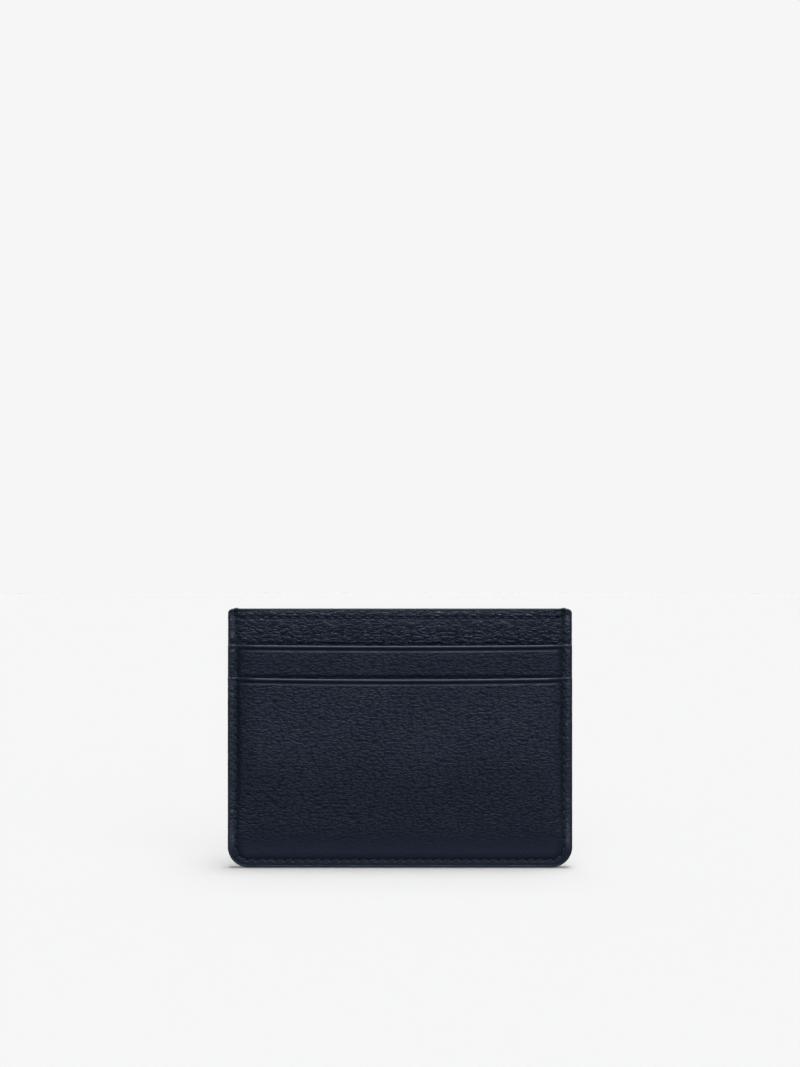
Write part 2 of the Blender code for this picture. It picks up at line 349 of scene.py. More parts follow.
def meshGrain(x, z, grain, side):  # the grain read at the points of a mesh
    points = np.stack([x.ravel(), np.zeros(x.size), z.ravel()], axis=1)
    mesh = bpy.data.meshes.new("grainPoints")
    mesh.vertices.add(len(points))
    mesh.vertices.foreach_set("co", points.astype(np.float32).ravel())
    probe = bpy.data.objects.new("grainPoints", mesh)
    scene.collection.objects.link(probe)
    tree = bpy.data.node_groups.new("grainPoints", "GeometryNodeTree")
    tree.interface.new_socket("Geometry", in_out="INPUT", socket_type="NodeSocketGeometry")
    tree.interface.new_socket("Geometry", in_out="OUTPUT", socket_type="NodeSocketGeometry")
    place = Wire.make(tree, "GeometryNodeInputPosition")
    current = Wire.make(tree, "NodeGroupInput")
    names = ("tops", "creases")
    for name, value in zip(names, grainPattern(tree, place, grain, side)):
        current = Wire.make(
            tree, "GeometryNodeStoreNamedAttribute", {"data_type": "FLOAT", "domain": "POINT"},
            {"Geometry": current, "Name": name, "Value": value},
        )
    Wire.make(tree, "NodeGroupOutput", None, {0: current})
    probe.modifiers.new("grainPoints", "NODES").node_group = tree
    seen = probe.evaluated_get(bpy.context.evaluated_depsgraph_get()).data
    values = []
    for name in names:
        read = np.empty(len(points), np.float32)
        seen.attributes[name].data.foreach_get("value", read)
        values.append(read.reshape(x.shape).astype(float))
    bpy.data.objects.remove(probe)
    bpy.data.meshes.remove(mesh)
    bpy.data.node_groups.remove(tree)
    return values


def addMesh(name, points, faces, side=-1, values=None):
    if side > 0:
        faces = [face[::-1] for face in faces]
    mesh = bpy.data.meshes.new(name)
    mesh.from_pydata(points, [], faces)
    mesh.shade_smooth()
    for key, value in (values or {}).items():
        mesh.attributes.new(key, "FLOAT", "POINT").data.foreach_set("value", value.astype(np.float32))
    piece = bpy.data.objects.new(name, mesh)
    scene.collection.objects.link(piece)
    return piece


def around(grid):  # the border of a grid of indices, once round
    return [*grid[0, :-1], *grid[:-1, -1], *grid[-1, :0:-1], *grid[:0:-1, 0], grid[0, 0]]


def addShell(name, side, x, z, outer, inner, values, skip=4):  # fine outer face, coarse inner face
    coarse = (slice(None, None, skip), slice(None, None, skip))
    fine = np.stack([x, side * outer, z], axis=-1).reshape(-1, 3)
    plain = np.stack([x[coarse], side * inner[coarse], z[coarse]], axis=-1).reshape(-1, 3)
    grid = np.arange(x.size).reshape(x.shape)
    under = x.size + np.arange(len(plain)).reshape(x[coarse].shape)
    quads = np.stack([grid[:-1, :-1], grid[:-1, 1:], grid[1:, 1:], grid[1:, :-1]], axis=-1)
    backs = np.stack([under[:-1, :-1], under[1:, :-1], under[1:, 1:], under[:-1, 1:]], axis=-1)
    faces = quads.reshape(-1, 4).tolist() + backs.reshape(-1, 4).tolist()
    edge, underEdge = around(grid), around(under)
    for k in range(len(underEdge) - 1):
        run = edge[k * skip:(k + 1) * skip + 1]
        faces.append([int(i) for i in (*run[::-1], underEdge[k], underEdge[k + 1])])
    values = {key: np.concatenate([v.ravel(), v[coarse].ravel()]) for key, v in values.items()}
    return addMesh(name, np.concatenate([fine, plain]), faces, side, values)


def lines(*runs):  # grid lines from (start, end, count) runs that follow each other
    parts = [np.linspace(a, b, n, endpoint=False) for a, b, n in runs]
    return np.concatenate([*parts, [runs[-1][1]]])


def arcRows(start, end, count, easeStart=True):  # rows that close up towards one end of a round
    turn = quarterTurn(count, False)
    share = 1 - np.cos(turn) if easeStart else np.sin(turn)
    return start + (end - start) * share


# columns close up over the sewn margins
marginStart = halfWidth - 5.2 * mm
sideLines = lines((marginStart, halfWidth - 0.9 * mm, 32), (halfWidth - 0.9 * mm, halfWidth, 12))
columns = np.concatenate([-sideLines[::-1], lines((-marginStart, marginStart, 264))[1:-1], sideLines])


def gridOver(rows, inset):  # points of a panel: columns squeezed to the outline at each row
    share = columns / halfWidth
    side = outlineSide(rows, inset)
    return share[None, :] * side[:, None], np.repeat(rows[:, None], len(columns), axis=1)


# holes of the seam and the hem, and how the thread draws the leather in
stitching = {
    "pitch": 2.69 * mm,
    "seamRise": 0.65 * mm,        # the seam's last hole lies this far above the hem row
    "hemInset": 4.4 * mm,         # from the outline to the hem row's last hole
    "hemDrop": 0.1 * mm,          # the hem's holes lie this far below its line
    "holeWidth": 0.23 * mm,
    "holeDepth": 0.34 * mm,
    "shadeWidth": 0.34 * mm,      # painted shade in a ring round a hole
    "shadeDepth": 1.2,
    "channelWidth": 0.55 * mm,
    "channelDepth": 0.13 * mm,
    "slant": 0.13 * mm,           # sideways from one end of a stitch to the other
    "notchWidth": 0.85 * mm,      # where the wraps pull the top edge down
    "notchDepth": 0.10 * mm,
}
seamTop = hemLine + stitching["seamRise"]
seamAcross = halfWidth - sideInset


def seamRoute():  # points close together, from the top left, round the foot, to the top right
    side = seamAcross
    acrossRadius = form["bottomCorner"] - sideInset
    upRadius = form["bottomCorner"] - footInset
    left = [(-side, z) for z in np.linspace(seamTop, form["bottomCorner"], 400, endpoint=False)]
    corner = [
        (-side + acrossRadius * (1 - math.cos(t)), form["bottomCorner"] - upRadius * math.sin(t))
        for t in quarterTurn(60)
    ]
    flat = [(x, footInset) for x in np.linspace(corner[-1][0], 0, 300)[1:]]
    half = np.array(left + corner + flat)
    return np.concatenate([half, half[-2::-1] * (-1, 1)])


def lengthsAlong(path):  # from its first point to each point
    return np.concatenate([[0], np.cumsum(np.linalg.norm(np.diff(path, axis=0), axis=1))])


def along(route, places):  # points at given lengths along a route
    return np.stack([np.interp(places, lengthsAlong(route), route[:, i]) for i in (0, 1)], axis=1)


def routeLength(route):
    return lengthsAlong(route)[-1]


def stitchCount(route):
    return round(routeLength(route) / stitching["pitch"])


def holesAlong(route):
    return along(route, np.linspace(0, routeLength(route), stitchCount(route) + 1))


def straightRow(reach, z):
    return np.array([(-reach, z), (reach, z)])


seam = seamRoute()
seamHoles = holesAlong(seam)
hemRow = straightRow(halfWidth - stitching["hemInset"], hemLine - stitching["hemDrop"])
hemHoles = holesAlong(hemRow)


def seamDistance(x, z):  # from the seam, inwards
    radius = form["bottomCorner"]
    across = np.clip((np.abs(x) - (halfWidth - radius)) / radius, 0, 1)
    down = np.clip(1 - z / radius, 0, 1)
    turn = np.arctan2(down, across + 1e-9) / (math.pi / 2)
    return edgeDistance(x, z) - sideInset - (footInset - sideInset) * turn


def dents(x, z, spots, width, depth, stretch=1.0):  # round hollows; stretch makes them longer in x
    hollow = np.zeros(x.shape)
    for spotX, spotZ in spots:
        near = (np.abs(x - spotX) < 4 * width * stretch) & (np.abs(z - spotZ) < 4 * width)
        r = np.hypot((x[near] - spotX) / stretch, z[near] - spotZ)
        hollow[near] += depth * bell(r, width)
    return hollow


# crease pressed along a pocket's mouth, by the way down from its top
mouthLine = {
    "beadHeight": 0.86 * mm,      # painted edge
    "beadProud": 0.09 * mm,       # how far it stands out from the leather
    "beadGap": 0.25 * mm,         # it stops this far short of its full reach
    "drop": 0.29 * mm,            # how deep the leather dips below the bead
    "dip": (0.50 * mm, 0.75 * mm),  # start and width of the way down
    "lip": (1.50 * mm, 0.48 * mm),  # and of the way up again
    "lipHighlight": 0.95,               # painted highlight on the lip below the crease, how much lighter it is
    "lipHighlightAt": 1.75 * mm,
    "lipHighlightWidth": 0.32 * mm,
    "ends": (3.4 * mm, 2.2 * mm),   # from the outline, where the crease begins to show
}

# row of stitches under the top edge
hem = {
    "channelDrop": 0.15 * mm,     # from the row's line down to the middle of its channel
    "channelWidth": 0.42 * mm,
    "channelDepth": 0.26 * mm,
    "holeWidth": 0.28 * mm,
    "holeDepth": 0.30 * mm,
    # painted shade round each hole of the hem
    "shadeWidth": 0.36 * mm,
    "shadeDepth": 1.6,
    "stretch": 1.6,               # how much longer than tall a hole is
    "lip": 0.35,                  # painted highlight on the channel's lower lip, how light it is
    "lipDrop": 0.62 * mm,
    "lipWidth": 0.30 * mm,
    "lipFrom": 0.45,              # value of the shade texture that leaves the lip as it was
}

# how strongly the grain shows, where 1 is in full
grainShown = {
    "seam": 0.35,
    "seamWidth": 0.8 * mm,
    "margin": 1.25,               # outside the seam
    "foot": 0.12,
    "footRise": (4.5 * mm, 12 * mm),
    "mouth": 0.15,
    "mouthRise": (1.5 * mm, 0.7 * mm),
}

# painted light and shade of the leather, from 0.5: more is lighter and less is darker
paintedShading = {
    "hollows": 1.25,              # between the pebbles
    "pebbles": 0.80,              # how much less on their tops
    # painted light on the sewn margins outside the seam, less of it along the foot
    "margin": 0.82,
    "marginStart": 0.3 * mm,      # outside the seam
    "marginFoot": -0.40,          # share of it that is left along the foot
    "marginRise": (2.5 * mm, 6 * mm),
    "groove": 0.50,               # painted shade, darker just inside the seam
    "grooveAt": 0.6 * mm,
    "grooveWidth": 1.0 * mm,
    # painted light low on the front panel, along its foot, where the panel turns downwards
    "foot": 0.38,
    "footRise": (3.0 * mm, 14 * mm),
    # painted shade on the strip between the mouths, darker still just above the lower mouth
    "strip": -0.12,
    "stripFoot": -0.25,
    "stripFootWidth": 0.9 * mm,
    # painted shade on the top band, darker still just above the upper mouth
    "band": -0.10,
    "bandFoot": -0.20,
    "bandFootWidth": 0.8 * mm,
    "belowHem": 0.90,             # painted light in the hollows beside the hem
    "aboveHem": 0.60,
    "hemReach": 0.7,              # share of the way to the mouth over which it dies away
    "wrap": -0.9,                 # painted shade under the thread at the top of the seam
    "wrapWidth": 0.5 * mm,
}

# rows of points close up where the leather turns quickly
leatherFields = {
    "lower_pocket_panel": {
        "top": lowerMouth,
        "rows": lambda low, top: np.concatenate([
            arcRows(low, form["bottomCorner"], 44),
            lines((form["bottomCorner"], top - 2.4 * mm, 184), (top - 2.4 * mm, top, 24)),
        ]),
    },
    "upper_pocket_facing": {
        "top": upperMouth,
        "rows": lambda low, top: lines(
            (facingFoot, lowerMouth - 1.6 * mm, 12),
            (lowerMouth - 1.6 * mm, top - 2.0 * mm, 52),
            (top - 2.0 * mm, top, 20),
        ),
    },
    "body_panel": {
        "top": topLevel,
        "rows": lambda low, top: np.concatenate([
            arcRows(low, form["bottomCorner"], 12),
            lines(
                (form["bottomCorner"], upperMouth - 2.0 * mm, 36),
                (upperMouth - 2.0 * mm, hemLine - 1.1 * mm, 52),
                (hemLine - 1.1 * mm, topLevel - form["topCornerTall"], 20),
            )[:-1],
            arcRows(topLevel - form["topCornerTall"], top, 12, False),
            [top],
        ]),
    },
}


def sagged(ply, x, z):  # heights after the mouths have sagged and the wraps have pulled
    if ply.startswith("body"):
        notch = bell(np.abs(x) - seamAcross, stitching["notchWidth"])
        return z - stitching["notchDepth"] * notch * rise(z, height - 2.0 * mm, 1.6 * mm)
    top = lowerMouth if ply.startswith("lower") else upperMouth
    return z - sag(ply, x) * (1 - rise(top - z, 0, form["sagDepth"]))


def upFrom(least, share):  # from least to 1
    return least + (1 - least) * share


def grainAmount(ply, z, down, fromSeam, sewn):
    amount = 1 - (1 - grainShown["seam"]) * bell(fromSeam, grainShown["seamWidth"]) * sewn
    amount = amount * np.where((fromSeam < 0) & sewn, grainShown["margin"], 1)
    if ply == "lower_pocket_panel":
        amount = amount * upFrom(grainShown["foot"], rise(z, *grainShown["footRise"]))
    if ply != "body_panel":
        amount = amount * upFrom(grainShown["mouth"], rise(down, *grainShown["mouthRise"]))
    return amount


def edgeRoll(x, z, top):  # how far the leather rounds away towards its cut edges
    edge = np.minimum(edgeDistance(x, z) - form["cutInset"], top - z + 0.10 * mm)
    away = form["edgeRoll"] - np.clip(edge, 0, form["edgeRoll"])
    return 0.70 * (form["edgeRoll"] - np.sqrt(form["edgeRoll"] ** 2 - away ** 2))


# painted light on the margins, painted shade in the seam's groove and round its holes
def seamShade(x, z, fromSeam, sewn, shadeTexture):
    margin = (fromSeam < -paintedShading["marginStart"]) * sewn
    margin = margin * upFrom(paintedShading["marginFoot"], rise(z, *paintedShading["marginRise"]))
    groove = bell(fromSeam - paintedShading["grooveAt"], paintedShading["grooveWidth"]) * sewn
    holes = dents(x, z, seamHoles, stitching["shadeWidth"], stitching["shadeDepth"])
    return paintedShading["margin"] * margin * shadeTexture - paintedShading["groove"] * groove - holes


def hemHollow(x, z):
    channel = bell(z - hemLine + hem["channelDrop"], hem["channelWidth"]) * (np.abs(x) < hemReach)
    holes = dents(x, z, hemHoles, hem["holeWidth"], hem["holeDepth"], hem["stretch"])
    return hem["channelDepth"] * channel + holes


def bandShade(x, z, shadeTexture):  # painted light and shade of the top band, from the upper mouth to the top edge
    holes = dents(x, z, hemHoles, hem["shadeWidth"], hem["shadeDepth"], hem["stretch"])
    lip = bell(z - hemLine + hem["lipDrop"], hem["lipWidth"]) * (np.abs(x) < hemReach)
    nearHem = 1 - rise(hemLine - z, 1.0 * mm, paintedShading["hemReach"] * (hemLine - upperMouth))
    side = paintedShading["belowHem"] + (paintedShading["aboveHem"] - paintedShading["belowHem"]) * rise(z, hemLine, 0.5 * mm)
    foot = paintedShading["bandFoot"] * bell(z - upperMouth, paintedShading["bandFootWidth"])
    fromWrap = np.hypot(np.abs(x) - seamAcross, 0.6 * (z - topLevel))
    wrap = paintedShading["wrap"] * bell(fromWrap, paintedShading["wrapWidth"])
    shade = hem["lip"] * lip * (shadeTexture - hem["lipFrom"]) + side * nearHem * shadeTexture
    return shade + paintedShading["band"] + foot + wrap - holes


def mouthHollow(x, down):
    crease = rise(down, *mouthLine["dip"]) - rise(down, *mouthLine["lip"])
    return mouthLine["drop"] * crease * rise(halfWidth - np.abs(x), *mouthLine["ends"])


# painted highlight on the lip under the mouth's crease, painted light along the foot, painted shade on the
# strip
def pocketShade(ply, z, down, shadeTexture):
    shade = mouthLine["lipHighlight"] * bell(down - mouthLine["lipHighlightAt"], mouthLine["lipHighlightWidth"]) * shadeTexture
    if ply == "lower_pocket_panel":
        return shade + paintedShading["foot"] * (1 - rise(z, *paintedShading["footRise"]))
    return shade + paintedShading["strip"] + paintedShading["stripFoot"] * bell(z - lowerMouth, paintedShading["stripFootWidth"])


def addLeather(name, ply, side):
    field = leatherFields[ply]
    grain = grains[grainOf[ply]]
    top = field["top"] - form["mouthGap"]
    x, z = gridOver(field["rows"](form["cutInset"], top), form["cutInset"])
    shown = sagged(ply, x, z)
    down = field["top"] - z
    fromSeam = seamDistance(x, z)
    sewn = z < seamTop + 0.2 * mm
    loose = openness(x, z)
    waves = slowWaves(x, z, side) * loose
    tops, creases = meshGrain(x, shown, grain, side)
    amount = grainAmount(ply, z, down, fromSeam, sewn)
    # texture of the painted light and shade, lighter between the pebbles
    shadeTexture = paintedShading["hollows"] - paintedShading["pebbles"] * tops

    outer = fieldLevel(ply, 1, x, z) + waves - edgeRoll(x, z, top)
    outer = outer + amount * (grain["pebble"] * (tops - 0.6) - 0.6 * grain["depth"] * creases)
    outer = outer - stitching["channelDepth"] * bell(fromSeam, stitching["channelWidth"]) * sewn
    outer = outer - dents(x, z, seamHoles, stitching["holeWidth"], stitching["holeDepth"])
    shade = 0.5 + seamShade(x, z, fromSeam, sewn, shadeTexture)
    if ply == "body_panel":
        rim = form["rimSewn"] * leanIn(ply, np.maximum(z, hemLine)) * (1 - loose)
        outer = outer - rim - hemHollow(x, z)
        shade = shade + bandShade(x, z, shadeTexture)
    else:
        outer = outer - mouthHollow(x, down)
        shade = shade + pocketShade(ply, z, down, shadeTexture)
    inner = fieldLevel(ply, 0, x, z) + waves
    return addShell(name, side, x, shown, outer, inner, {"grainAmount": amount, "shade": shade})


cloth = {
    "drop": 0.34 * mm,            # cloth ends this far below the edge above it
    "columns": 161,
}
clothRows = {
    "body_lining": lambda: np.concatenate([
        arcRows(form["cutInset"], form["bottomCorner"], 12),
        lines((form["bottomCorner"], topLevel - form["topCornerTall"], 64))[:-1],
        arcRows(topLevel - form["topCornerTall"], topLevel - cloth["drop"], 8, False),
        [topLevel - cloth["drop"]],
    ]),
    "upper_pocket_backing": lambda: lines(
        (backingFoot, facingFoot - 0.1 * mm, 32), (facingFoot - 0.1 * mm, facingFoot, 4),
        (facingFoot, upperMouth - cloth["drop"], 24),
    ),
}


def addCloth(name, ply, side):  # lining or backing cloth, a thin shell
    rows = clothRows[ply]()
    share = np.linspace(-1, 1, cloth["columns"])
    reach = outlineSide(rows, form["cutInset"])
    if ply == "upper_pocket_backing":
        reach = np.where(rows < facingFoot - 0.01 * mm, baseReach, reach)
    x = share[None, :] * reach[:, None]
    z = np.repeat(rows[:, None], len(share), axis=1)
    waves = slowWaves(x, z, side) * openness(x, z)
    inner, outer = (fieldLevel(ply, face, x, z) + waves for face in (0, 1))
    return addShell(name, side, x, sagged(ply, x, z), outer, inner, {})


def tubeFrames(path):  # side and up directions that turn as little as they can
    ahead = np.gradient(path, axis=0)
    ahead /= np.linalg.norm(ahead, axis=1)[:, None] + 1e-12
    side = np.cross(ahead[0], (0.3, 1.0, 0.2))
    sides = []
    for direction in ahead:
        side = side - direction * side.dot(direction)
        side = side / np.linalg.norm(side)
        sides.append(side)
    sides = np.array(sides)
    return sides, np.cross(ahead, sides)


thread = {
    "around": 15,                 # points round it
    "lobes": 0.13,                # how far its three plies stand out, as a share of its radius
    "lay": 2.4 * mm,              # length of one turn of the twist
}


def twistedTube(path, radius, start=0):  # points and faces of a thread of three plies
    sides, ups = tubeFrames(path)
    turn = fullTurn(thread["around"])
    twist = 2 * math.pi * lengthsAlong(path)[:, None] / thread["lay"]
    r = radius * (1 + thread["lobes"] * np.cos(3 * (turn - twist)))[:, :, None]
    across = np.cos(turn)[None, :, None] * sides[:, None]
    return ringFaces(path[:, None] + r * (across + np.sin(turn)[None, :, None] * ups[:, None]), start)


def ringFaces(rings, start=0):  # a closed sweep from rings of points
    count, perRing = rings.shape[:2]
    index = start + np.arange(count * perRing).reshape(count, perRing)
    following = np.roll(index, -1, axis=1)
    quads = np.stack([index[:-1], following[:-1], following[1:], index[1:]], axis=-1)
    faces = quads.reshape(-1, 4).tolist()
    faces += [index[0, ::-1].tolist(), index[-1].tolist()]
    return rings.reshape(-1, 3), faces


def addTubes(name, paths, radius):
    points, faces = [], []
    for path in paths:
        more, moreFaces = twistedTube(path, radius, sum(map(len, points)))
        points.append(more)
        faces += moreFaces
    return addMesh(name, np.concatenate(points), faces)


def stackLevel(z, start, width):  # outer face of the sewn plies, which steps out below each mouth
    body, facing, panel = (layers[ply][1] for ply in reversed(leatherFields))
    atUpper, atLower = rise(upperMouth - z, start, width), rise(lowerMouth - z, start, width)
    return body + (facing - body) * atUpper + (panel - facing) * atLower


def bodyLevel(x, z, side):  # outer face of the body panel
    return fieldLevel("body_panel", 1, x, z) + slowWaves(x, z, side) * openness(x, z)


seamSteps = (-0.55 * mm, 0.8 * mm)  # start and width of the seam's step out below a mouth

# rows of stitches, in mm: the share of a stitch that lies on the leather, how far its ends dive, how
# far its middle stands out, which way it slants, how far all is sunk, and its share of the radius
threadRows = {
    "seam": {"cover": 0.70, "dive": 0.34, "proud": 0.05, "slant": 1, "sunk": 0.09, "girth": 0.95},
    "hem": {"cover": 0.56, "dive": 0.40, "proud": 0.02, "slant": -1, "sunk": 0.08, "girth": 0.9},
    "base": {"cover": 0.80, "dive": 0.12, "proud": 0.05, "slant": 1, "sunk": -0.15, "girth": 0.9},
}


def stitchedPath(row, route, side, level):
    dive, proud, sunk = (row[key] * mm for key in ("dive", "proud", "sunk"))
    stitches = stitchCount(route)
    share = np.linspace(0, 1, 14, endpoint=False)
    places = (np.arange(stitches)[:, None] + share[None, :]).ravel() / stitches
    places = np.append(places, 1.0) * routeLength(route)
    share = np.append(np.tile(share, stitches), 1.0)
    flat = along(route, places)
    ahead = np.gradient(flat, axis=0)
    ahead /= np.linalg.norm(ahead, axis=1)[:, None]
    across = np.stack([-ahead[:, 1], ahead[:, 0]], axis=1)
    lean = rise(share, 0.06, 0.88) * 2 - 1
    x, z = (flat + across * (lean * row["slant"] * stitching["slant"])[:, None]).T
    edge = (1 - row["cover"]) / 2 - 0.10
    over = rise(share, edge, 0.20) * rise(1 - share, edge, 0.20)
    out = level(x, z) - sunk - dive + (dive + proud) * over
    return np.stack([x, side * out, z], axis=1)


# strands over the top edge at each end of the seam
wraps = {
    "strands": (-1, 0, 1),
    "spacing": 0.40 * mm,
    "proud": 0.16 * mm,           # above the top edge
    "out": 0.12 * mm,             # in front of the leather
    "rounding": 0.55 * mm,
    "places": 30,                 # points along each
}


def wrapPath(x, side):  # from the seam's last hole over the top edge to the middle plane
    face = layers["body_panel"][1]
    out, rounding = face + wraps["out"], wraps["rounding"]
    crown = height - 1.02 * threadRadius + wraps["proud"]
    points = [(face - 0.3 * mm, seamTop - 0.05 * mm), (face - 0.05 * mm, seamTop)]
    points += [(out, seamTop + 0.25 * mm)]
    points += [(out, z) for z in np.linspace(seamTop + 0.45 * mm, crown - rounding, 5)]
    points += [
        (out - rounding * (1 - math.cos(t)), crown - rounding * (1 - math.sin(t)))
        for t in quarterTurn(12)[1:]
    ]
    fine = np.array([*points, (0.0, crown)])
    y, z = along(fine, np.linspace(0, routeLength(fine), wraps["places"])).T
    return np.stack([np.full(len(y), x), side * y, z], axis=1)


def addSeamThread(name, side):
    row = threadRows["seam"]
    paths = [stitchedPath(row, seam, side, lambda x, z: stackLevel(z, *seamSteps))]
    for end in (-1, 1):
        for strand in wraps["strands"]:
            paths.append(wrapPath(end * seamAcross + strand * wraps["spacing"], side))
    return addTubes(name, paths, threadRadius * row["girth"])


def addRowThread(name, kind, route, side):  # one straight row on the body panel
    row = threadRows[kind]
    path = stitchedPath(row, route, side, lambda x, z: bodyLevel(x, z, side))
    return addTubes(name, [path], threadRadius * row["girth"])


bead = {
    "step": 0.3 * mm,             # between its rings, and the length of its rounded ends
    "around": 20,
    "squareness": 0.85,
    "sewnIn": 0.45,               # share of its thickness that the seam presses away
    "sewnWidth": 0.35 * mm,
    "endHeight": 0.4,             # share of its height at its ends
    "uneven": (0.012 * mm, 0.030 * mm),  # in thickness and in height
    "topHeight": 0.50 * mm,
}


def beadRing():  # (outward, up) points of a soft-cornered bead of unit size, below its top
    turn = fullTurn(bead["around"])
    c, s = np.cos(turn), np.sin(turn)
    y = np.sign(c) * np.abs(c) ** bead["squareness"]
    return y, np.sign(s) * np.abs(s) ** bead["squareness"] / 2 - 0.5


def unevenness(s, size):  # hand-painted edges are never quite even
    return size * (np.sin(s / (1.9 * mm)) + np.sin(s / (0.73 * mm) + 1) + np.sin(s / (3.7 * mm) + 2)) / 3


def middleLevel(plies, x, z, side):  # middle of a stack of plies at their open edge
    low = fieldLevel(plies[0], 0, x, z)
    high = fieldLevel(plies[-1], 1, x, z)
    return (low + high) / 2 + slowWaves(x, z, side) * openness(x, z)


def addBead(name, node, side):  # painted edge along a mouth or the top
    level, tall, gap, plies = beads[node]
    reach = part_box("back_" + node)[1].x - gap
    x = np.linspace(-reach, reach, round(2 * reach / bead["step"]))
    y, z = beadRing()
    ends = np.sqrt(1 - np.clip((np.abs(x) - reach) / bead["step"] + 1, 0, 0.98) ** 2)
    thick = (layers[plies[-1]][1] - layers[plies[0]][0]) / 2 + mouthLine["beadProud"]
    thick = (thick + unevenness(x, bead["uneven"][0])) * ends
    thick = thick * (1 - bead["sewnIn"] * bell(np.abs(x) - seamAcross, bead["sewnWidth"]))
    deep = (tall + unevenness(x + 5 * mm, bead["uneven"][1])) * upFrom(bead["endHeight"], ends)
    centre = middleLevel(plies, x, level - form["mouthGap"], side)
    rings = np.stack([
        np.repeat(x[:, None], len(y), axis=1),
        side * (centre[:, None] + thick[:, None] * y),
        (level - sag(node, x))[:, None] + deep[:, None] * z,
    ], axis=-1)
    return addMesh(name, *ringFaces(rings), -side)


def cornerNormal(turn):  # outward at a place on a top corner
    x, z = math.sin(turn) / form["topCornerWide"], math.cos(turn) / form["topCornerTall"]
    return -x / math.hypot(x, z), z / math.hypot(x, z)


edgePaint = {
    "depth": 0.62 * mm,           # how far the paint wraps inwards
    "sunk": 0.08 * mm,            # its inner rim lies this far below its face
    "corner": 0.40 * mm,
    "proud": 0.05 * mm,
    "bulge": 0.06 * mm,
    "topReach": 1.85 * mm,        # from the outline, where it ends along the top
    "steps": (-0.1 * mm, 0.3 * mm),  # start and width of its step below a mouth
    "uneven": 0.020 * mm,         # in thickness
    "ripple": 0.015 * mm,         # outwards
}


def edgeRoute():  # outline from the top left, round the foot, to the top right, with normals
    low, wide, tall = form["bottomCorner"], form["topCornerWide"], form["topCornerTall"]
    start = halfWidth - edgePaint["topReach"]
    points = [(-x, topLevel, 0, 1) for x in np.linspace(start, halfWidth - wide, 2, endpoint=False)]
    points += [
        (-halfWidth + wide * (1 - math.sin(t)), topLevel - tall * (1 - math.cos(t)), *cornerNormal(t))
        for t in quarterTurn(24)
    ]
    points += [(-halfWidth, z, -1, 0) for z in np.linspace(topLevel - tall, low, 260)[1:-1]]
    points += [
        (-halfWidth + low - low * math.cos(t), low - low * math.sin(t), -math.cos(t), -math.sin(t))
        for t in quarterTurn(40)
    ]
    points += [(x, 0, 0, -1) for x in np.linspace(-halfWidth + low, 0, 150)[1:]]
    half = np.array(points, float)
    return np.concatenate([half, half[-2::-1] * (-1, 1, -1, 1)])


def addEdgeCoat(name):
    route = edgeRoute()
    x, z, outX, outZ = (column[:, None] for column in route.T)
    length = lengthsAlong(route[:, :2])[:, None]
    half = stackLevel(z, *edgePaint["steps"]) + edgePaint["proud"]
    half = half + unevenness(length, edgePaint["uneven"])
    corner, depth, bulge = edgePaint["corner"], edgePaint["depth"], edgePaint["bulge"]
    turn = quarterTurn(7)
    inward = np.array([-depth, *(corner * (np.sin(turn) - 1))])
    across = half - np.array([edgePaint["sunk"], *(corner * (1 - np.cos(turn)))])
    flat = np.linspace(across[:, -1], -across[:, -1], 9, axis=1)[:, 1:-1]
    y = np.concatenate([across, flat, -across[:, ::-1]], axis=1)
    out = np.concatenate([inward, np.zeros(flat.shape[1]), inward[::-1]]) - bulge
    crown = np.where(out > -0.8 * depth, bulge * (1 - (y / half) ** 2), 0)
    out = np.minimum(out + crown + unevenness(1.3 * length, edgePaint["ripple"]), 0)
    rings = np.stack([x + outX * out, y, z + outZ * out], axis=-1)
    return addMesh(name, *ringFaces(rings))


def newMaterial(name):
    material = bpy.data.materials.new(name)
    material.use_nodes = True
    tree = material.node_tree
    tree.nodes.clear()
    return material, tree


def finishMaterial(tree, settings):
    shader = Wire.make(tree, "ShaderNodeBsdfPrincipled", None, settings)
    Wire.make(tree, "ShaderNodeOutputMaterial", None, {"Surface": shader})


def objectPlace(tree):
    return Wire.make(tree, "ShaderNodeTexCoord", None, None, "Object")


def storedValue(tree, name):
    return Wire.make(tree, "ShaderNodeAttribute", {"attribute_name": name}, None, "Fac")


def bumped(tree, relief):
    return Wire.make(tree, "ShaderNodeBump", None, {"Strength": 1.0, "Distance": 1.0, "Height": relief})


coolGloss = (0.82, 0.91, 1.0, 1)

leather = {
    "dark": (0.0110, 0.0155, 0.0290, 1),     # painted shade in the creases and where the shade value is low
    "field": (0.0120, 0.0195, 0.0425, 1),
    "light": (0.0205, 0.0300, 0.0580, 1),    # lighter on pebble tops; painted light where the shade value is high
    "lip": (0.1000, 0.1200, 0.1650, 1),      # painted highlight on the lower lips of the creases, and painted light where the shade value is highest
    "roughness": 0.37,
    "specular": 0.32,
    "pore": 0.22 * mm,
    "poreDepth": 0.018 * mm,
    "cloud": 9 * mm,              # slow change of gloss
    "cloudRough": 0.12,
    "creaseRough": 0.16,
    "topRough": -0.05,
    "lipRough": -0.10,
    "creaseDark": 0.25,
    "topRelief": 0.35,            # shares of the pebble and of the crease that the bump adds
    "fineRelief": 0.30,
}


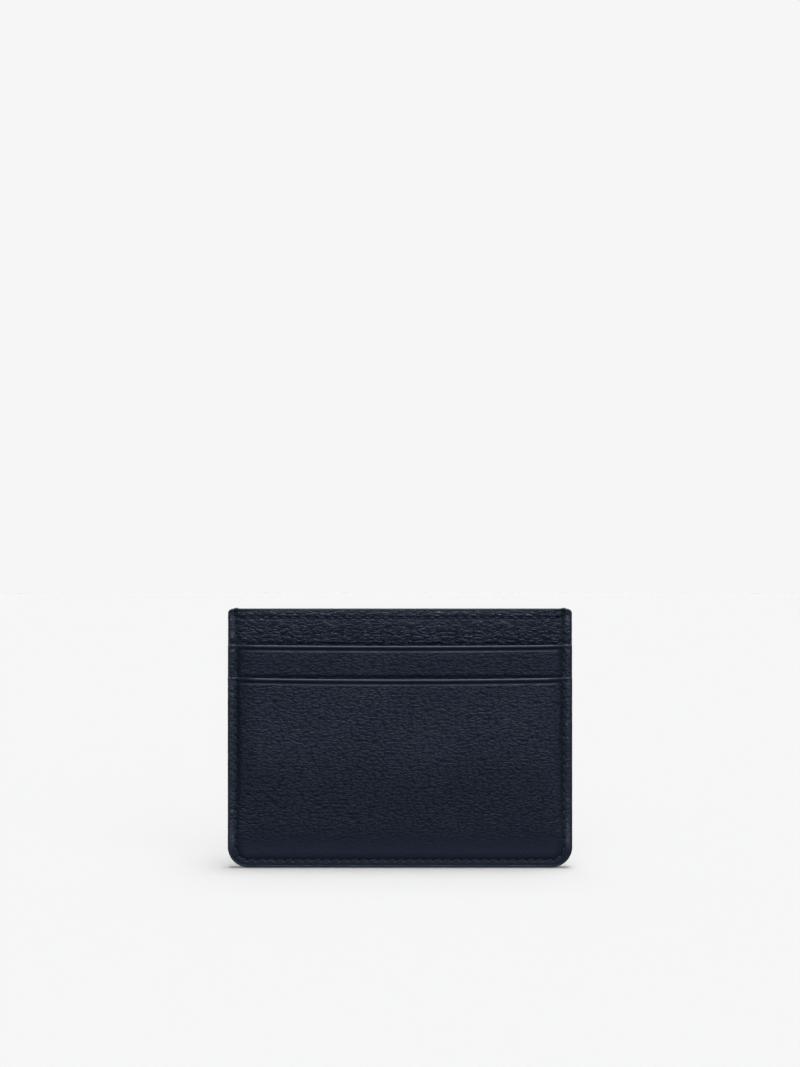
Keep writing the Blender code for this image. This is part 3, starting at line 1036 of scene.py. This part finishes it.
def leatherFinish(name, grain, side):
    material, tree = newMaterial(name)
    place = objectPlace(tree)
    amount, shade = storedValue(tree, "grainAmount"), storedValue(tree, "shade")
    tops, creases = grainPattern(tree, place, grain, side)
    above = grainPattern(tree, place, grain, side, lipShift)[1]
    pores = noise(tree, place, 1 / leather["pore"], detail=3.0)
    cloud = noise(tree, place, 1 / leather["cloud"])
    high = (tops * amount).between(0.35, 1.0)
    lip = (above * (1.0 - creases)).between(0.30, 0.85) * amount.between(0.0, 0.8) * grain["lip"]
    colour = high.blend(leather["field"], leather["light"])
    # painted shade in the creases
    colour = (creases * amount * leather["creaseDark"]).blend(colour, leather["dark"])
    # painted highlight on the lower lips of the creases
    colour = lip.blend(colour, leather["lip"])
    # painted light and painted shade from the stored shade values
    colour = shade.between(0.5, 1.0).blend(colour, leather["light"])
    colour = shade.between(0.7, 1.7).blend(colour, leather["lip"])
    colour = shade.between(0.5, -0.1).blend(colour, leather["dark"])
    rough = leather["roughness"] + creases * amount * leather["creaseRough"]
    rough = rough + (cloud - 0.5) * leather["cloudRough"]
    rough = rough + high * leather["topRough"] + lip * leather["lipRough"]
    fine = fineWrinkles(tree, place, grain, side) * leather["fineRelief"]
    relief = tops * (leather["topRelief"] * grain["pebble"]) - (creases + fine) * grain["depth"]
    relief = relief * amount + (pores - 0.5) * leather["poreDepth"]
    finishMaterial(tree, {
        "Base Color": colour, "Roughness": rough, "Normal": bumped(tree, relief),
        "Specular IOR Level": leather["specular"], "Specular Tint": coolGloss,
    })
    return material


edgeInk = {
    "low": (0.019, 0.025, 0.042, 1),
    "high": (0.028, 0.036, 0.058, 1),
    "roughness": 0.40,
    "specular": 0.55,
    "uneven": 0.2,                # change of roughness
    "cloud": 1.4 * mm,
    "speck": 0.3 * mm,
    "speckDepth": 0.012 * mm,
}


def edgeFinish():
    material, tree = newMaterial("navyEdgePaint")
    place = objectPlace(tree)
    cloud = noise(tree, place, 1 / edgeInk["cloud"], detail=3.0)
    specks = noise(tree, place, 1 / edgeInk["speck"])
    finishMaterial(tree, {
        "Base Color": cloud.between(0.3, 0.7).blend(edgeInk["low"], edgeInk["high"]),
        "Roughness": edgeInk["roughness"] + (cloud - 0.5) * edgeInk["uneven"],
        "Normal": bumped(tree, specks * edgeInk["speckDepth"]),
        "Specular IOR Level": edgeInk["specular"], "Specular Tint": coolGloss,
    })
    return material


threadDye = {
    "low": (0.012, 0.018, 0.032, 1),
    "high": (0.048, 0.064, 0.092, 1),
    "paintedShadeTop": (0.005, 0.007, 0.012, 1),       # painted shade on the thread over the top edge
    "paintedShadeFrom": 1.6 * mm,        # below the top
    "paintedShadeFully": 0.7 * mm,
    "roughness": 0.55,
    "specular": 0.30,
    "uneven": 0.2,
    "fibre": 0.09 * mm,
    "fibreDepth": 0.010 * mm,
}


def threadFinish():
    material, tree = newMaterial("navySewingThread")
    place = objectPlace(tree)
    fibres = noise(tree, place, 1 / threadDye["fibre"])
    # painted shade on the thread over the top edge
    paintedShadeTop = place.part(2).between(height - threadDye["paintedShadeFrom"], height - threadDye["paintedShadeFully"])
    dyed = fibres.between(0.3, 0.7).blend(threadDye["low"], threadDye["high"])
    finishMaterial(tree, {
        "Base Color": paintedShadeTop.blend(dyed, threadDye["paintedShadeTop"]),
        "Roughness": threadDye["roughness"] + (fibres - 0.5) * threadDye["uneven"],
        "Normal": bumped(tree, fibres * threadDye["fibreDepth"]),
        "Specular IOR Level": threadDye["specular"], "Specular Tint": coolGloss,
    })
    return material


weave = {
    "low": (0.010, 0.013, 0.022, 1),
    "high": (0.030, 0.038, 0.060, 1),
    "yarn": 0.34 * mm,
    "depth": 0.04 * mm,
    "slub": 1.2 * mm,             # length of a thicker place in a yarn
    "slubShare": 0.5,
    "roughness": 0.78,
    "uneven": 0.2,
    "sheen": 0.15,
}


def clothFinish():
    material, tree = newMaterial("navyLiningCloth")
    place = objectPlace(tree)
    x, z = (place.part(axis) * (math.pi / weave["yarn"]) for axis in (0, 2))
    slub = noise(tree, place, 1 / weave["slub"], detail=3.0)
    yarn = (x.sine() * z.sine()).between(-0.9, 0.9) + (slub - 0.5) * weave["slubShare"]
    finishMaterial(tree, {
        "Base Color": yarn.between(0.0, 1.0).blend(weave["low"], weave["high"]),
        "Roughness": weave["roughness"] + (slub - 0.5) * weave["uneven"],
        "Normal": bumped(tree, yarn * weave["depth"]),
        "Sheen Weight": weave["sheen"],
    })
    return material


holder = bpy.data.collections.new("cardHolder")  # all that the rear light reaches


def settle(piece, material, node):
    piece.data.materials.append(material)
    holder.objects.link(piece)
    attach(piece, "root")
    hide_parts(node)


baseWaste = 2 * (halfWidth - baseReach) * (facingFoot - backingFoot)  # cut away beside the stem

clothSizes = {  # height when flat, and the area that its shape leaves out
    "body_lining": (height, 0.0),
    "upper_pocket_backing": (upperMouth - backingFoot, baseWaste),
}
beads = {  # top, height, how far it stops short at each end, and the plies it covers
    "lower_mouth_coat": (
        lowerMouth, mouthLine["beadHeight"], mouthLine["beadGap"], ["lower_pocket_panel"],
    ),
    "upper_mouth_coat": (
        upperMouth, mouthLine["beadHeight"], mouthLine["beadGap"],
        ["upper_pocket_backing", "upper_pocket_facing"],
    ),
    "top_edge_coat": (topLevel, bead["topHeight"], 0.0, ["body_lining", "body_panel"]),
}
straightRows = {
    "top_hem_thread": ("hem", hemRow),
    "pocket_base_thread": ("base", straightRow(baseReach - threadRadius, baseLine)),
}
edgeMaterial, threadMaterial, clothMaterial = edgeFinish(), threadFinish(), clothFinish()

for half, side in halves.items():
    for ply in leatherFields:
        piece = addLeather(half + "_" + ply + "_hide", ply, side)
        finish = leatherFinish("navyGrain_" + half + "_" + grainOf[ply], grains[grainOf[ply]], side)
        settle(piece, finish, half + "_" + ply)
    print("leather panels of the", half, "half")

    for ply, (tall, cutAway) in clothSizes.items():
        piece = addCloth(half + "_" + ply + "_cloth", ply, side)
        settle(piece, clothMaterial, half + "_" + ply)
        2 * halfWidth * tall - cutAway
    print("cloth of the", half, "half")

    for node in beads:
        piece = addBead(half + "_" + node + "_bead", node, side)
        settle(piece, edgeMaterial, half + "_" + node)
    for node, (kind, route) in straightRows.items():
        piece = addRowThread(half + "_" + node + "_stitches", kind, route, side)
        settle(piece, threadMaterial, half + "_" + node)
    print("edges and stitches of the", half, "half")

for node, side in {"seam_needle_thread": -1, "seam_bobbin_thread": 1}.items():
    settle(addSeamThread(node + "_stitches", side), threadMaterial, node)
settle(addEdgeCoat("edge_coat_paint"), edgeMaterial, "edge_coat")
print("seam and painted edge")


studio = {
    "floorGlow": 0.155,           # light the floor gives by itself
    "floorWhite": 0.60,           # how much light it throws back
    "floorDrop": 0.2 * mm,        # below the foot of the holder
    "radius": 2.9,                # of the floor and of the dome over it
    "around": 64,
    "domeDrop": 0.02,             # its rim lies this far below the foot of the holder
    "roomLight": 0.10,
    "roomColour": (0.95, 0.97, 1.0, 1),
    "backdrop": 0.9216,
}
suns = {  # strength, where the light comes from, degrees across
    "top": (2.5, (0.10, -0.06, 1.0), 34),      # broad, nearly straight above
    "front": (1.1, (0.18, -1.0, 0.80), 60),
    "behind": (0.6, (0.05, 0.32, 1.0), 36),    # steep, for the shadow at the foot
    "rear": (0.8, (-0.35, 1.0, 0.70), 60),     # reaches the holder only
}


def addStage(name, points, faces, material):
    piece = addMesh(name, points, faces)
    piece.data.materials.append(material)
    piece.visible_diffuse = False
    piece.visible_glossy = False
    return piece


def ringPoints(radius, z):
    turn = fullTurn(studio["around"])
    return np.stack([radius * np.cos(turn), radius * np.sin(turn), np.full(len(turn), z)], axis=1)


def glowing(name, white, glow):
    material, tree = newMaterial(name)
    surface = Wire.make(tree, "ShaderNodeEmission", None, {"Color": (glow, glow, glow, 1), "Strength": 1.0})
    if white:
        diffuse = Wire.make(tree, "ShaderNodeBsdfDiffuse", None, {"Color": (white, white, white, 1)})
        surface = Wire.make(tree, "ShaderNodeAddShader", None, {0: diffuse, 1: surface})
    Wire.make(tree, "ShaderNodeOutputMaterial", None, {"Surface": surface})
    return material


floorMaterial = glowing("paleFloor", studio["floorWhite"], studio["floorGlow"])
floorPoints = ringPoints(studio["radius"], -studio["floorDrop"])
addStage("floor", floorPoints, [list(range(studio["around"]))], floorMaterial)

domeRings = [
    ringPoints(studio["radius"] * math.cos(t), studio["radius"] * math.sin(t) - studio["domeDrop"])
    for t in quarterTurn(12)
]
domePoints, domeFaces = ringFaces(np.array(domeRings))
domeFaces = domeFaces[:-2]  # open at its foot and at its top
dome = addStage("backdrop", domePoints, domeFaces, glowing("paleBackdrop", 0, studio["backdrop"]))
dome.visible_shadow = False


def addSun(name, strength, direction, spread):
    light = bpy.data.lights.new(name, "SUN")
    light.energy = strength
    light.angle = math.radians(spread)
    lamp = bpy.data.objects.new(name, light)
    lamp.rotation_euler = Vector(direction).to_track_quat("Z", "Y").to_euler()
    scene.collection.objects.link(lamp)
    return lamp


lamps = {name: addSun(name, *values) for name, values in suns.items()}
lamps["rear"].light_linking.receiver_collection = holder  # leaves the floor alone

world = bpy.data.worlds.new("studio")
world.use_nodes = True
ambient = world.node_tree.nodes["Background"].inputs
ambient["Color"].default_value = studio["roomColour"]
ambient["Strength"].default_value = studio["roomLight"]
scene.world = world
scene.view_settings.view_transform = "Standard"
print("studio")


view = {
    "distance": 0.62,             # from the middle plane
    "eyeHeight": 96.88 * mm,
    "frameHeight": 310.4 * mm,    # what the frame's long side takes in at that distance
    "sensor": 36,
}
camera = bpy.data.objects.new("camera", bpy.data.cameras.new("camera"))
camera.data.sensor_width = view["sensor"]
camera.data.lens = view["sensor"] * view["distance"] / view["frameHeight"]
camera.data.clip_start = 0.01
camera.location = (0, -view["distance"], view["eyeHeight"])
camera.rotation_euler = (math.pi / 2, 0, 0)
scene.collection.objects.link(camera)
scene.camera = camera
